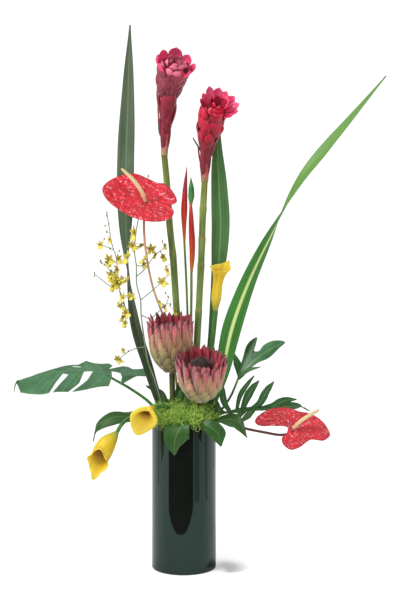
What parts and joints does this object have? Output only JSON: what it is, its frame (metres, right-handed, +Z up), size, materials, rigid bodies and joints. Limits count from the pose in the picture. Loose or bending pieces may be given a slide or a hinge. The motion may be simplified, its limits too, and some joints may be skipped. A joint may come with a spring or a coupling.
{
  "type": "tropical flower arrangement in a cylinder vase",
  "caption": "Tall airy arrangement of torch gingers, anthuriums, proteas, callas, heliconias, orchid sprays and long leaves in a glossy dark cylinder vase.",
  "frame": {"origin": "centre of the vase's flat bottom face, which stands on the table", "axes": "+Z up through the vase, +X to the right as seen from the front, where the blooms face, and +Y to the back"},
  "size_m": [0.5936, 0.1935, 0.87],
  "materials": {
    "vase": "glossy, very dark green-black glaze",
    "foam": "matte, water-soaked open foam",
    "moss": "matte, frizzy yellow-green",
    "flax_leaf": "satin grey-green with a paler midline",
    "back_leaf": "satin mid green",
    "striped_leaf": "satin bright green with a cream-lime midstripe",
    "ginger_stem": "satin olive green with yellowish joints",
    "ginger_bloom": "satin, hot pink bracts over a dark red neck",
    "heliconia_stem": "satin yellow-green",
    "heliconia_bract": "satin red fading to orange",
    "heliconia_tip": "satin deep green",
    "anthurium_top_stem": "satin brown-pink",
    "anthurium_side_stem": "satin dark red-brown",
    "anthurium_spathe": "wax-glossy, puckered red",
    "anthurium_spadix": "fine-grained cream",
    "protea_stem": "matte olive-brown",
    "protea_bracts": "downy pink above olive-tan scales",
    "protea_dome": "velvety purple-black",
    "calla_stem": "satin green",
    "calla_bloom": "satin yellow with a brownish throat",
    "split_leaf": "satin bluish green",
    "philodendron": "semi-gloss dark green",
    "rim_leaf": "semi-gloss green, tan underneath",
    "orchid": "soft yellow with brown marks on grey-green stalks"
  },
  "bodies": {
    "root": {"vase": "vase", "floral_foam": "foam", "moss": "moss", "flax_leaf": "flax_leaf", "back_leaf": "back_leaf", "striped_leaf": "striped_leaf", "ginger_left_stem": "ginger_stem", "ginger_right_stem": "ginger_stem", "ginger_left_bloom": "ginger_bloom", "ginger_right_bloom": "ginger_bloom", "heliconia_left_stem": "heliconia_stem", "heliconia_right_stem": "heliconia_stem", "heliconia_left_bract": "heliconia_bract", "heliconia_right_bract": "heliconia_bract", "heliconia_green_tip": "heliconia_tip", "anthurium_top_stem": "anthurium_top_stem", "anthurium_side_stem": "anthurium_side_stem", "anthurium_top_spathe": "anthurium_spathe", "anthurium_side_spathe": "anthurium_spathe", "anthurium_top_spadix": "anthurium_spadix", "anthurium_side_spadix": "anthurium_spadix", "protea_left_stem": "protea_stem", "protea_right_stem": "protea_stem", "protea_left_bloom": "protea_bracts", "protea_right_bloom": "protea_bracts", "protea_left_dome": "protea_dome", "protea_right_dome": "protea_dome", "calla_upright_stem": "calla_stem", "calla_front_stem": "calla_stem", "calla_drooping_stem": "calla_stem", "calla_upright_bloom": "calla_bloom", "calla_front_bloom": "calla_bloom", "calla_drooping_bloom": "calla_bloom", "split_leaf": "split_leaf", "philodendron_upper": "philodendron", "philodendron_lower": "philodendron", "rim_leaf_left": "rim_leaf", "rim_leaf_left_small": "rim_leaf", "rim_leaf_front_left": "rim_leaf", "rim_leaf_front_right": "rim_leaf", "rim_leaf_right": "rim_leaf", "rim_leaf_back_right": "rim_leaf", "rim_leaf_back": "rim_leaf", "rim_leaf_back_left": "rim_leaf", "rim_leaf_rising": "rim_leaf", "orchid_spray_right": "orchid", "orchid_spray_left": "orchid"}
  },
  "joints": []
}
